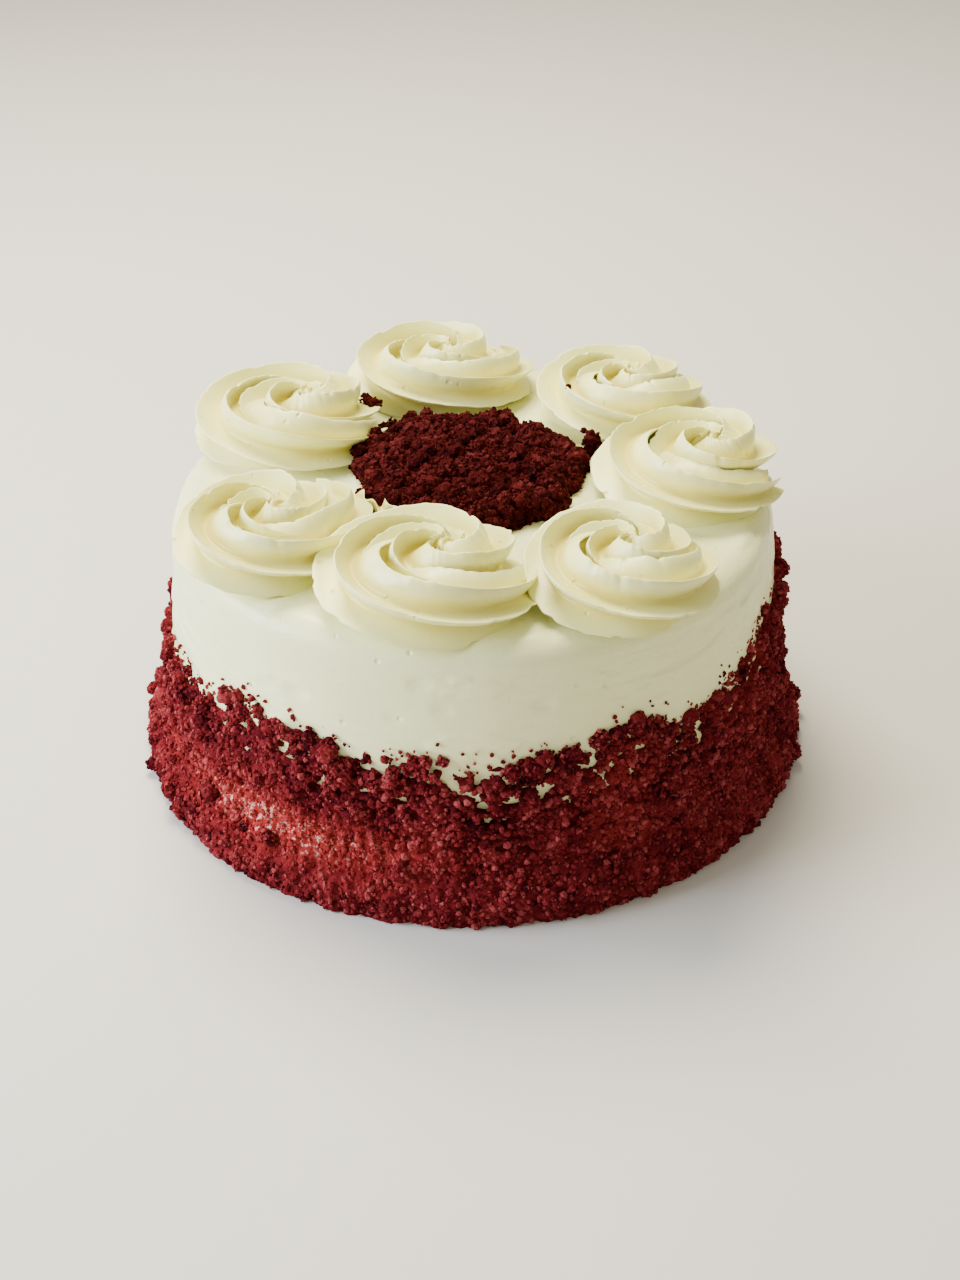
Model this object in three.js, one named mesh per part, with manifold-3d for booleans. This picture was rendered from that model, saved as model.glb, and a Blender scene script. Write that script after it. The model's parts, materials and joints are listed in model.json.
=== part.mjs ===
// Red velvet layer cake, uncut: a round frosted cake, seven piped rosettes round its top edge,
// a heap of cake crumbs between them, and a coat of crumbs pressed on the lower side.
// Millimetres, +Z up, origin at the centre of the flat base, -Y is the front.

import * as THREE from "three";
import { mergeVertices } from "three/addons/utils/BufferGeometryUtils.js";
import Module from "manifold-3d";

// ---- driving dimensions ----

const CAKE_HEIGHT = 88;
const BASE_RADIUS = 100.6;
const MIDDLE_RADIUS = 97.4;
const UPPER_RADIUS = 94.2;
const MIDDLE_HEIGHT = 44;
const SHOULDER_RADIUS = 8;
const SHOULDER_STEPS = 3;
const CAKE_SEGMENTS = 54;
const OUT_OF_ROUND = 0.004;
const TOUCH_GAP = 0.3;
const FACET_TOLERANCE = 0.04;

const COAT_FOOT_RADIUS = 108.6;
const COAT_FOOT_HEIGHT = 9;
const COAT_WAIST_RADIUS = 103.6;
const COAT_WAIST_HEIGHT = 17;
const COAT_TOP_THICKNESS = 2.6;
const COAT_EDGE_HEIGHT = 53;
const COAT_EDGE_RISE = 18;
const COAT_EDGE_DIP = 12;
const COAT_ROUGHNESS = 0.7;
const COAT_SEGMENTS = 60;

const HEAP_X = -2;
const HEAP_Y = 4;
const HEAP_RADIUS = 38;
const HEAP_WIDE = 0.95;
const HEAP_DEEP = 1.02;
const HEAP_HEIGHT = 7.5;
const HEAP_EDGE_HEIGHT = 4;
const HEAP_SEGMENTS = 28;
const HEAP_RINGS = 3;
const HEAP_ROUGHNESS = 0.9;

const LOOSE_LUMP_X = 38.5;
const LOOSE_LUMP_Y = 19.5;
const LOOSE_LUMP_SIZE = 3.4;

const NOZZLE_RIDGES = 6;
const ROPE_STEP = 33;
const ROPE_ARC_STEPS = 7;
const ROPE_WIDTH = 1.12;
const ROPE_FLATTENING = 0.95;
const ROPE_FOOT = 0.32;
const FIRST_LIFT = 12;
const LAST_LIFT = 7;
const LIFT_POWER = 0.7;
const BUD_SIZE = 0.82;
const BUD_SHARE = 0.3;
const DRAWN_WITHIN = 34;
const BUD_FOOT_RADIUS = 13;
const BUD_TOP_RADIUS = 1.2;
const BUD_HEIGHT = 15;
const BUD_SIDES = 10;
const RIDGE_DEPTH = 0.54;
const RIDGE_LEAN = 0.32;
const SPIRAL_START = 2.5;
const TAIL_SHARE = 0.1;
const TAIL_SIZE = 0.45;
const TIP_REACH = 3;
const AXIS_CLEARANCE = 0.8;

// One entry for each rosette, the last piped first. x, y: its centre. end: the azimuth in degrees where
// the rope ends. reach: the spiral's last radius. rope: the rope's radius. phase: where the first ridge
// starts. twist: how far the ridges turn for one turn of the spiral. wide, deep: stretch along x and y.
// drawn: how far the middle is drawn sideways along x and y.
const ROSETTES = [
  { name: "rosette_front", x: -12, y: -63, end: -15, turns: 1.9, reach: 24.5, rope: 10.8,
    phase: -8, twist: -0.32, wide: 1.06, deep: 0.9, drawn: [3, 3] },
  { name: "rosette_front_right", x: 42, y: -59, end: 12, turns: 1.9, reach: 22.5, rope: 10.6,
    phase: 58, twist: -0.3, wide: 0.97, deep: 0.97, drawn: [3, 0] },
  { name: "rosette_front_left", x: -61, y: -39, end: 25, turns: 1.9, reach: 22.5, rope: 10.4,
    phase: -5, twist: -0.34, wide: 0.96, deep: 0.96, drawn: [2, 1] },
  { name: "rosette_right", x: 70, y: 2, end: -40, turns: 1.8, reach: 23.5, rope: 10.8,
    phase: 0, twist: -0.3, wide: 1, deep: 0.96, drawn: [4, 2] },
  { name: "rosette_back_left", x: -58, y: 35, end: -30, turns: 1.8, reach: 24.5, rope: 10.8,
    phase: 20, twist: -0.3, wide: 1.06, deep: 0.92, drawn: [3, 1] },
  { name: "rosette_back_right", x: 50, y: 52, end: 15, turns: 1.9, reach: 22.5, rope: 10.2,
    phase: 40, twist: -0.28, wide: 1, deep: 0.92, drawn: [2, -1] },
  { name: "rosette_back", x: -12, y: 71, end: 25, turns: 1.9, reach: 25, rope: 10.6,
    phase: 10, twist: -0.34, wide: 1.02, deep: 0.84, drawn: [2, 0] },
];

// ---- materials ----

const frosting = new THREE.MeshStandardMaterial({ color: 0xeeeacd, roughness: 0.5, metalness: 0 });
const pipedFrosting = new THREE.MeshStandardMaterial({ color: 0xf0ebcb, roughness: 0.45, metalness: 0 });
const crumbs = new THREE.MeshStandardMaterial({ color: 0x6e1a1e, roughness: 0.9, metalness: 0 });

// ---- solids ----

const wasm = await Module();
wasm.setup();

const radians = (degrees) => (degrees * Math.PI) / 180;

// A repeatable row of numbers from 0 to 1.
function randomRow(seed) {
  let state = seed;
  return () => {
    state = (Math.imul(state, 1664525) + 1013904223) >>> 0;
    return state / 4294967296;
  };
}

// A closed three.js geometry as a solid: shared corners merged, triangles without area dropped.
function solidOf(geometry) {
  const bare = geometry.index ? geometry.clone() : geometry;
  bare.deleteAttribute("normal");
  bare.deleteAttribute("uv");
  const merged = mergeVertices(bare, 1e-4);
  const corners = [];
  for (let i = 0; i < merged.index.count; i += 3) {
    const [a, b, c] = [merged.index.getX(i), merged.index.getX(i + 1), merged.index.getX(i + 2)];
    if (a !== b && b !== c && c !== a) {
      corners.push(a, b, c);
    }
  }
  return new wasm.Manifold(new wasm.Mesh({
    numProp: 3,
    vertProperties: new Float32Array(merged.attributes.position.array),
    triVerts: new Uint32Array(corners),
    tolerance: FACET_TOLERANCE,
  }));
}

// Rows of points, each a closed ring of the same length, as one geometry. The first and the last row
// are closed by a fan round their middle. Rings run counter-clockwise seen from the last row's side.
function ringGeometry(rows) {
  const count = rows[0].length;
  const middle = (row) => row.reduce((sum, p) => sum.add(p), new THREE.Vector3()).divideScalar(count);
  const points = [...rows.flat(), middle(rows[0]), middle(rows.at(-1))];
  const faces = [];
  for (let i = 0; i < rows.length - 1; i += 1) {
    for (let j = 0; j < count; j += 1) {
      const next = (j + 1) % count;
      const low = i * count;
      const high = low + count;
      faces.push(low + j, low + next, high + next);
      faces.push(low + j, high + next, high + j);
    }
  }
  const last = (rows.length - 1) * count;
  for (let j = 0; j < count; j += 1) {
    const next = (j + 1) % count;
    faces.push(rows.length * count, next, j);
    faces.push(rows.length * count + 1, last + j, last + next);
  }
  const geometry = new THREE.BufferGeometry().setFromPoints(points);
  geometry.setIndex(faces);
  return geometry;
}

// The largest body of a solid, without scraps that a cut has left loose and without closed hollows.
function largestBody(solid) {
  return solid.decompose().reduce((best, body) => (body.volume() > best.volume() ? body : best));
}

function meshOf(name, solid, material) {
  const body = largestBody(solid).getMesh();
  const geometry = new THREE.BufferGeometry();
  geometry.setAttribute("position", new THREE.BufferAttribute(new Float32Array(body.vertProperties), 3));
  geometry.setIndex(new THREE.BufferAttribute(new Uint32Array(body.triVerts), 1));
  const mesh = new THREE.Mesh(geometry, material);
  mesh.name = name;
  return mesh;
}

// ---- frosted cake ----

// The hand-smoothed side is a little out of round.
function roundness(azimuth) {
  return 1 + OUT_OF_ROUND * (Math.sin(2 * azimuth + 0.6) + 0.7 * Math.sin(3 * azimuth + 2.2));
}

// Half section: flat base, side drawn in slightly, round shoulder, flat top.
function cakeProfile(gap) {
  const points = [
    [0, -gap],
    [BASE_RADIUS + gap, -gap],
    [MIDDLE_RADIUS + gap, MIDDLE_HEIGHT],
  ];
  for (let i = 0; i <= SHOULDER_STEPS; i += 1) {
    const turn = radians((90 * i) / SHOULDER_STEPS);
    points.push([
      UPPER_RADIUS - SHOULDER_RADIUS + (SHOULDER_RADIUS + gap) * Math.cos(turn),
      CAKE_HEIGHT - SHOULDER_RADIUS + (SHOULDER_RADIUS + gap) * Math.sin(turn),
    ]);
  }
  points.push([0, CAKE_HEIGHT + gap]);
  return points.map(([radius, height]) => new THREE.Vector2(radius, height));
}

function cakeSolid(gap) {
  const geometry = new THREE.LatheGeometry(cakeProfile(gap), CAKE_SEGMENTS);
  geometry.rotateX(Math.PI / 2);
  const place = geometry.attributes.position;
  for (let i = 0; i < place.count; i += 1) {
    const factor = roundness(Math.atan2(place.getY(i), place.getX(i)));
    place.setXY(i, place.getX(i) * factor, place.getY(i) * factor);
  }
  return solidOf(geometry);
}

// ---- piped rosettes ----

// One section of the rope, in the upright plane through the rosette's axis. The nozzle's star has
// sharp ridges and hollow flanks. The rope swells from a point at the axis, and it is wider at its
// foot, where it has settled on the cake.
function ropeSection(rose, share) {
  const start = radians(rose.end) - 2 * Math.PI * rose.turns;
  const turn = start + 2 * Math.PI * rose.turns * share;
  const reach = SPIRAL_START + (rose.reach - SPIRAL_START) * share;
  const tail = Math.min((1 - share) / TAIL_SHARE, 1);
  const taper = TAIL_SIZE + (1 - TAIL_SIZE) * Math.sqrt(1 - (1 - tail) ** 2);
  const head = BUD_SIZE + (1 - BUD_SIZE) * THREE.MathUtils.smoothstep(share, 0, BUD_SHARE);
  const size = Math.min(rose.rope * taper * head, (reach - AXIS_CLEARANCE) / ROPE_WIDTH);
  const lift = FIRST_LIFT + (LAST_LIFT - FIRST_LIFT) * share ** LIFT_POWER;
  const points = [];
  for (let i = 0; i < 2 * NOZZLE_RIDGES; i += 1) {
    const ridge = i % 2 === 0 ? 1 : 0;
    const local = (Math.PI * i) / NOZZLE_RIDGES - RIDGE_LEAN * ridge;
    const angle = rose.twist * turn - radians(rose.phase) - local;
    const radius = size * (1 - RIDGE_DEPTH * (1 - ridge));
    const foot = 1 + ROPE_FOOT * Math.max(-Math.sin(angle), 0);
    const out = reach + radius * ROPE_WIDTH * foot * Math.cos(angle);
    const ahead = turn + radians(TIP_REACH) * ridge * (1 - tail) ** 2;
    const drawn = Math.max(1 - out / DRAWN_WITHIN, 0) ** 2;
    points.push(new THREE.Vector3(
      rose.x + rose.wide * out * Math.cos(ahead) + rose.drawn[0] * drawn,
      rose.y + rose.deep * out * Math.sin(ahead) + rose.drawn[1] * drawn,
      CAKE_HEIGHT + lift + radius * ROPE_FLATTENING * Math.sin(angle),
    ));
  }
  return points;
}

// The core under the first turn, which the rope winds round.
function budSolid(rose) {
  const geometry = new THREE.CylinderGeometry(BUD_TOP_RADIUS, BUD_FOOT_RADIUS, BUD_HEIGHT, BUD_SIDES);
  geometry.rotateX(Math.PI / 2);
  geometry.translate(rose.x + rose.drawn[0], rose.y + rose.drawn[1], CAKE_HEIGHT + BUD_HEIGHT / 2);
  return solidOf(geometry);
}

// The rope winds outward, counter-clockwise from above, and is joined from short arcs.
function ropeSolid(rose) {
  const steps = Math.ceil((360 * rose.turns) / ROPE_STEP / ROPE_ARC_STEPS) * ROPE_ARC_STEPS;
  const rows = [];
  for (let i = 0; i <= steps; i += 1) {
    rows.push(ropeSection(rose, i / steps));
  }
  let rope = budSolid(rose);
  for (let i = 0; i < steps; i += ROPE_ARC_STEPS) {
    rope = rope.add(solidOf(ringGeometry(rows.slice(i, i + ROPE_ARC_STEPS + 1))));
  }
  return rope;
}

// The room kept free for a rosette: the rosette and four copies of it, moved a little apart to the
// corners of a tetrahedron, so that it is larger on every side.
function roomSolid(rose) {
  const rope = ropeSolid(rose);
  const corners = [[1, 1, 1], [1, -1, -1], [-1, 1, -1], [-1, -1, 1]];
  return largestBody(corners
    .map((corner) => rope.translate(corner.map((side) => side * TOUCH_GAP)))
    .reduce((room, copy) => room.add(copy), rope));
}

// ---- crumbs ----

// How much longer or shorter than its size a lump is, level and upright.
const LUMP_STRETCH = { least: 0.85, spread: 0.4 };
const LUMP_FLATTENING = { least: 0.75, spread: 0.3 };

// A lump of crumb: a stretched and turned icosahedron.
function lumpSolid(random, size, place) {
  const geometry = new THREE.IcosahedronGeometry(size, 0);
  const [wide, flat] = [LUMP_STRETCH, LUMP_FLATTENING];
  geometry.scale(
    wide.least + wide.spread * random(), wide.least + wide.spread * random(), flat.least + flat.spread * random());
  geometry.rotateX(2 * Math.PI * random());
  geometry.rotateZ(2 * Math.PI * random());
  geometry.translate(...place);
  return solidOf(geometry);
}

// A smooth hill of height 1 round one azimuth, in degrees.
function hill(degrees, centre, width) {
  const apart = ((degrees - centre + 540) % 360) - 180;
  return Math.exp(-((apart / width) ** 2));
}

// Height of the coat's upper edge: high on the right, low on the left, ragged all round.
function coatEdge(degrees) {
  const azimuth = radians(degrees);
  const waves = 2.2 * Math.sin(5 * azimuth + 0.5) + 2.4 * Math.sin(11 * azimuth + 1.1)
    + 1.6 * Math.sin(19 * azimuth + 2.7);
  return COAT_EDGE_HEIGHT + COAT_EDGE_RISE * hill(degrees, -8, 24) - COAT_EDGE_DIP * hill(degrees, -168, 20)
    + waves;
}

function sideRadius(height) {
  if (height < MIDDLE_HEIGHT) {
    return THREE.MathUtils.mapLinear(height, 0, MIDDLE_HEIGHT, BASE_RADIUS, MIDDLE_RADIUS);
  }
  const shoulder = CAKE_HEIGHT - SHOULDER_RADIUS;
  return THREE.MathUtils.mapLinear(height, MIDDLE_HEIGHT, shoulder, MIDDLE_RADIUS, UPPER_RADIUS);
}

// Outer face of the coat: a thick foot of piled crumbs, then a coat that thins towards its edge.
function coatRadius(height, edge) {
  if (height < COAT_FOOT_HEIGHT) {
    return COAT_FOOT_RADIUS;
  }
  if (height < COAT_WAIST_HEIGHT) {
    return THREE.MathUtils.mapLinear(
      height, COAT_FOOT_HEIGHT, COAT_WAIST_HEIGHT, COAT_FOOT_RADIUS, COAT_WAIST_RADIUS);
  }
  const waist = COAT_WAIST_RADIUS - sideRadius(COAT_WAIST_HEIGHT);
  const thickness = THREE.MathUtils.mapLinear(
    height, COAT_WAIST_HEIGHT, edge, waist, COAT_TOP_THICKNESS);
  return sideRadius(height) + thickness;
}

function coatPoint(degrees, height, stand) {
  const azimuth = radians(degrees);
  const radius = (coatRadius(height, coatEdge(degrees)) + stand) * roundness(azimuth);
  return [radius * Math.cos(azimuth), radius * Math.sin(azimuth), height];
}

// The bare coat fills down to the axis; the cake is cut out of it afterwards.
function coatCore(random) {
  const shares = [0.35, 0.65, 1];
  const rows = [0, COAT_FOOT_HEIGHT, COAT_WAIST_HEIGHT, ...shares].map((value, level) => {
    const row = [];
    for (let i = 0; i < COAT_SEGMENTS; i += 1) {
      const degrees = (360 * i) / COAT_SEGMENTS;
      const rise = coatEdge(degrees) - COAT_WAIST_HEIGHT;
      const height = level < 3 ? value : COAT_WAIST_HEIGHT + value * rise;
      const rough = COAT_ROUGHNESS * (2 * random() - 1);
      row.push(new THREE.Vector3(...coatPoint(degrees, height, rough)));
    }
    return row;
  });
  return solidOf(ringGeometry(rows));
}

// Rows of lumps, the largest first: the ragged upper edge, the foot and the face between them.
const COAT_LUMPS = [
  { count: 20, low: 0.9, high: 0.98, size: 3.6, vary: 1.2 },
  { count: 11, low: 0.06, high: 0.12, size: 3, vary: 0.7 },
  { count: 14, low: 0.25, high: 0.85, size: 2.6, vary: 0.8 },
];

function coatSolid() {
  const random = randomRow(11);
  let coat = coatCore(random);
  for (const band of COAT_LUMPS) {
    for (let i = 0; i < band.count; i += 1) {
      const degrees = (360 * (i + 0.7 * random())) / band.count;
      const share = band.low + (band.high - band.low) * random();
      const size = band.size + band.vary * (2 * random() - 1);
      const height = Math.max(share * coatEdge(degrees), 1.3 * size);
      coat = coat.add(lumpSolid(random, size, coatPoint(degrees, height, -0.35 * size)));
    }
  }
  return coat.subtract(cakeSolid(TOUCH_GAP));
}

function heapPoint(azimuth, radius, height) {
  return [
    HEAP_X + HEAP_WIDE * radius * Math.cos(azimuth),
    HEAP_Y + HEAP_DEEP * radius * Math.sin(azimuth),
    CAKE_HEIGHT + height,
  ];
}

// The heap in the middle: nearly flat on top, with a steep crumbly edge.
function heapCore(random) {
  const rows = [];
  for (let ring = 0; ring <= HEAP_RINGS; ring += 1) {
    const inward = Math.max(ring - 1, 0) / HEAP_RINGS;
    const row = [];
    for (let i = 0; i < HEAP_SEGMENTS; i += 1) {
      const azimuth = (2 * Math.PI * i) / HEAP_SEGMENTS;
      const uneven = 1 + 0.05 * Math.sin(3 * azimuth + 1) + 0.04 * Math.sin(7 * azimuth);
      const radius = HEAP_RADIUS * uneven * (1 - inward);
      const dome = HEAP_EDGE_HEIGHT + (HEAP_HEIGHT - HEAP_EDGE_HEIGHT) * (1 - (1 - inward) ** 3);
      const height = ring === 0 ? TOUCH_GAP : dome + HEAP_ROUGHNESS * (2 * random() - 1);
      row.push(new THREE.Vector3(...heapPoint(azimuth, radius, height)));
    }
    rows.push(row);
  }
  return solidOf(ringGeometry(rows));
}

const HEAP_LUMPS = [
  { count: 10, size: 3.6, vary: 0.7 },
  { count: 20, size: 2.4, vary: 0.6 },
];

// Lumps follow a sunflower spiral, so that they lie evenly over the heap.
function heapSolid(rooms) {
  const random = randomRow(29);
  const goldenTurn = Math.PI * (3 - Math.sqrt(5));
  let heap = heapCore(random);
  for (const band of HEAP_LUMPS) {
    for (let i = 0; i < band.count; i += 1) {
      const azimuth = goldenTurn * i + band.size;
      const radius = 0.86 * HEAP_RADIUS * Math.sqrt((i + 0.5) / band.count);
      const size = band.size + band.vary * (2 * random() - 1);
      const height = HEAP_HEIGHT - 3 * (radius / HEAP_RADIUS) ** 3 - 0.2 * size;
      heap = heap.add(lumpSolid(random, size, heapPoint(azimuth, radius, height)));
    }
  }
  return rooms.reduce((rest, room) => rest.subtract(room), heap);
}

// A clump that has rolled off the heap, in the gap between two rosettes.
function looseLumpSolid(neighbours) {
  const random = randomRow(5);
  const radius = LOOSE_LUMP_SIZE;
  const low = CAKE_HEIGHT + 0.8 * radius;
  const clump = lumpSolid(random, radius, [LOOSE_LUMP_X, LOOSE_LUMP_Y, low])
    .add(lumpSolid(random, 0.8 * radius, [LOOSE_LUMP_X + 0.9 * radius, LOOSE_LUMP_Y - 0.3 * radius, low]))
    .add(lumpSolid(random, 0.8 * radius, [LOOSE_LUMP_X, LOOSE_LUMP_Y + 0.2 * radius, low + radius]));
  return neighbours.reduce((rest, neighbour) => rest.subtract(neighbour), clump);
}

// ---- assembly ----

const group = new THREE.Group();
group.add(meshOf("cake_body", cakeSolid(0), frosting));
group.add(meshOf("crumb_coat", coatSolid(), crumbs));

const swollenCake = cakeSolid(TOUCH_GAP);
const rooms = [];
for (const rose of ROSETTES) {
  let rope = ropeSolid(rose).subtract(swollenCake);
  for (const room of rooms) {
    rope = rope.subtract(room);
  }
  group.add(meshOf(rose.name, rope, pipedFrosting));
  rooms.push(roomSolid(rose));
}

const heap = heapSolid(rooms);
group.add(meshOf("crumb_heap", heap, crumbs));
group.add(meshOf("crumb_lump_loose", looseLumpSolid([swollenCake, ...rooms, heap]), crumbs));

export default group;
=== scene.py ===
# Red velvet cake: hand-spread frosting, seven piped rosettes and coarse cake crumbs.
# Lengths in the dictionaries are millimetres and angles degrees; meshes are put into metres.
import json
import math

import bpy
import numpy as np
from mathutils import Matrix, Vector
from mathutils.bvhtree import BVHTree

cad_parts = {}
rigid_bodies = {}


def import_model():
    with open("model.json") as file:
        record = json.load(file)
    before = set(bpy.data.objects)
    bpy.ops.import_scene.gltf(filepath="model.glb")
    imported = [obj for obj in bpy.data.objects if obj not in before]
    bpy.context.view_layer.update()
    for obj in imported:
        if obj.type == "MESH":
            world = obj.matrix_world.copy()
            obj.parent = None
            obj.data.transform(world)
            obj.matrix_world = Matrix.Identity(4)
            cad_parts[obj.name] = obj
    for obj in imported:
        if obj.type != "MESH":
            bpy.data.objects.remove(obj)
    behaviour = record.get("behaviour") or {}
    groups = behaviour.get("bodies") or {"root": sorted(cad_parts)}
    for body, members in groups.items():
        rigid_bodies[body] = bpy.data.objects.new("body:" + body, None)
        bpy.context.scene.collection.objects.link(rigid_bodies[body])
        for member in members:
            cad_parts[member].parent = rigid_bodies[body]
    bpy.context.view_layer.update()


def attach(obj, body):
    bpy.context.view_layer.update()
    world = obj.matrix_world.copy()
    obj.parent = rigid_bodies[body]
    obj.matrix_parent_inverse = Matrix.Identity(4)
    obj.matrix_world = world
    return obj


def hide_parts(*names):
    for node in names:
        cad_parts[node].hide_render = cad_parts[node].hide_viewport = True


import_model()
mm = 0.001

# The camera looks down from the horizon, turned from +Y towards +X.
camera = {
    "place": (1.5, -498.9, 363.3), "down": 33.80, "turn": 0.10, "roll": -0.10,
    "focalPixels": 1800.0, "imageHeight": 1280.0, "sensor": 36.0, "nearest": 10.0,
}

studio = {
    "window": {"place": (-900, -160, 420), "size": 700, "power": 22.5, "colour": (0.95, 1.0, 1.10)},
    "ceiling": {"place": (-180, 420, 900), "size": 560, "power": 24.0, "colour": (1.0, 0.91, 0.66)},
    "aimHeight": 60.0,
    "worldColour": (1.0, 0.93, 0.74), "worldStrength": 0.61,
    "floorColour": (0.64, 0.62, 0.60), "floorRoughness": 0.6, "floorSize": 6000,
}


def makeCamera():
    down, turn, roll = (math.radians(camera[k]) for k in ("down", "turn", "roll"))
    ahead = Vector((math.sin(turn) * math.cos(down), math.cos(turn) * math.cos(down), -math.sin(down)))
    side = Vector((math.cos(turn), -math.sin(turn), 0))
    top = side.cross(ahead)
    right = math.cos(roll) * side + math.sin(roll) * top
    up = right.cross(ahead)
    data = bpy.data.cameras.new("photoCamera")
    data.sensor_width = camera["sensor"]
    data.lens = camera["sensor"] * camera["focalPixels"] / camera["imageHeight"]
    data.clip_start = camera["nearest"] * mm
    eye = bpy.data.objects.new("photoCamera", data)
    turned = Matrix((right, up, -ahead)).transposed().to_4x4()
    eye.matrix_world = Matrix.Translation(Vector(camera["place"]) * mm) @ turned
    bpy.context.scene.collection.objects.link(eye)
    bpy.context.scene.camera = eye


def makeAreaLight(name, light):
    data = bpy.data.lights.new(name, "AREA")
    data.shape = "DISK"
    data.size = light["size"] * mm
    data.energy = light["power"]
    data.color = light["colour"]
    lamp = bpy.data.objects.new(name, data)
    lamp.location = Vector(light["place"]) * mm
    aim = Vector((0, 0, studio["aimHeight"] * mm))
    lamp.rotation_euler = (aim - lamp.location).to_track_quat("-Z", "Y").to_euler()
    bpy.context.scene.collection.objects.link(lamp)


def makeWorld():
    world = bpy.data.worlds.new("softRoom")
    world.use_nodes = True
    sky = world.node_tree.nodes["Background"]
    sky.inputs["Color"].default_value = (*studio["worldColour"], 1)
    sky.inputs["Strength"].default_value = studio["worldStrength"]
    bpy.context.scene.world = world


def makeFloor():
    half = studio["floorSize"] / 2 * mm
    corners = [(-half, -half, 0), (half, -half, 0), (half, half, 0), (-half, half, 0)]
    mesh = bpy.data.meshes.new("studioFloor")
    mesh.from_pydata(corners, [], [(0, 1, 2, 3)])
    floor = bpy.data.objects.new("studioFloor", mesh)
    bpy.context.scene.collection.objects.link(floor)
    paint = bpy.data.materials.new("paleFloor")
    paint.use_nodes = True
    shader = paint.node_tree.nodes["Principled BSDF"]
    shader.inputs["Base Color"].default_value = (*studio["floorColour"], 1)
    shader.inputs["Roughness"].default_value = studio["floorRoughness"]
    mesh.materials.append(paint)


makeCamera()
makeAreaLight("windowLight", studio["window"])
makeAreaLight("ceilingLight", studio["ceiling"])
makeWorld()
makeFloor()
print("camera, light and floor are in place")


# Vectors scaled to length 1.
def unit(values):
    return values / np.linalg.norm(values, axis=-1, keepdims=True)


# From 0 at low to 1 at high along a smooth S. With low above high it falls.
def smoothStep(low, high, x):
    t = np.clip((x - low) / (high - low), 0, 1)
    return t * t * (3 - 2 * t)


# Smooth random values -1..1 on a lattice. u runs 0..1 and wraps round, v runs 0..1.
def softNoise(u, v, cells, seed):
    across, along = cells
    table = np.random.default_rng(seed).uniform(-1, 1, (across, along + 2))
    x, y = (u % 1) * across, np.clip(v, 0, 1) * along
    i, j = np.floor(x).astype(int), np.floor(y).astype(int)
    fx, fy = x - i, y - j
    fx, fy = fx * fx * (3 - 2 * fx), fy * fy * (3 - 2 * fy)
    left, right = i % across, (i + 1) % across
    low = table[left, j] * (1 - fx) + table[right, j] * fx
    high = table[left, j + 1] * (1 - fx) + table[right, j + 1] * fx
    return low * (1 - fy) + high * fy


# The ranges of a grain's place in its cell and of its height, and its reach in cells.
grainShape = {"jitter": (0.1, 0.9), "tall": (0.45, 1.0), "reach": 0.75}


# Rounded grains, 0..1: the highest of the domes tall (1 - (distance / reach)^2), each round a
# jittered point of a lattice.
def grainNoise(u, v, cells, seed, reach=grainShape["reach"]):
    across, along = cells
    dice = np.random.default_rng(seed)
    jitter = dice.uniform(*grainShape["jitter"], (across, along + 3, 2))
    tall = dice.uniform(*grainShape["tall"], (across, along + 3))
    x, y = (u % 1) * across, np.clip(v, 0, 1) * along
    i, j = np.floor(x).astype(int), np.floor(y).astype(int)
    best = np.zeros(np.broadcast(x, y).shape)
    for stepX in (-1, 0, 1):
        for stepY in (-1, 0, 1):
            cellX, cellY = (i + stepX) % across, np.clip(j + stepY, 0, along + 2)
            awayX = x - i - stepX - jitter[cellX, cellY, 0]
            awayY = y - j - stepY - jitter[cellX, cellY, 1]
            dome = 1 - (awayX ** 2 + awayY ** 2) / reach ** 2
            best = np.maximum(best, tall[cellX, cellY] * dome)
    return best


# The sum of layers of noise. A layer is its height, its cells across and along, and its seed.
def layered(noise, u, v, layers):
    return sum(height * noise(u, v, cells, seed) for height, cells, seed in layers)


# Start plus waves round the axis. A wave is its size, how often it comes round, and its phase.
def ringWaves(azimuth, waves, start=0):
    return sum((size * np.sin(count * azimuth + phase) for size, count, phase in waves), start)


# Straight from first to last as share goes from 0 to 1.
def between(first, last, share):
    return first + (last - first) * share


# Shares 0..1 down the rows of a grid, and angles all the way round its columns.
def sharesDown(rows):
    return np.linspace(0, 1, rows)[:, None]


def anglesRound(columns):
    return 2 * math.pi * np.arange(columns)[None, :] / columns


# A mesh from points in millimetres, faces of four corners and faces of three.
def meshFromArrays(name, points, quads, triangles):
    mesh = bpy.data.meshes.new(name)
    corners = np.concatenate([quads.ravel(), triangles.ravel()])
    starts = np.concatenate([np.arange(len(quads)) * 4, len(quads) * 4 + np.arange(len(triangles)) * 3])
    mesh.vertices.add(len(points))
    mesh.vertices.foreach_set("co", (points * mm).astype(np.float32).ravel())
    mesh.loops.add(len(corners))
    mesh.loops.foreach_set("vertex_index", corners.astype(np.int32))
    mesh.polygons.add(len(starts))
    mesh.polygons.foreach_set("loop_start", starts.astype(np.int32))
    mesh.update(calc_edges=True)
    mesh.validate()
    return mesh


# A grid of points (rows, columns, 3) whose columns wrap round. Each end row is closed by a fan.
def closedGrid(name, grid):
    rows, columns = grid.shape[:2]
    row, column = np.arange(rows - 1)[:, None] * columns, np.arange(columns)[None, :]
    low = (row + column).ravel()
    nextColumn = (row + (column + 1) % columns).ravel()
    quads = np.stack([low, nextColumn, nextColumn + columns, low + columns], -1)
    count = rows * columns
    first, after = np.arange(columns), (np.arange(columns) + 1) % columns
    last = count - columns
    fans = np.concatenate([
        np.stack([np.full(columns, count), after, first], -1),
        np.stack([np.full(columns, count + 1), last + first, last + after], -1),
    ])
    points = np.concatenate([grid.reshape(-1, 3), grid[0].mean(0)[None], grid[-1].mean(0)[None]])
    return meshFromArrays(name, points, quads, fans)


def storeValue(mesh, name, values):
    layer = mesh.attributes.new(name, "FLOAT", "POINT")
    layer.data.foreach_set("value", np.asarray(values, np.float32).ravel())


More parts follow.
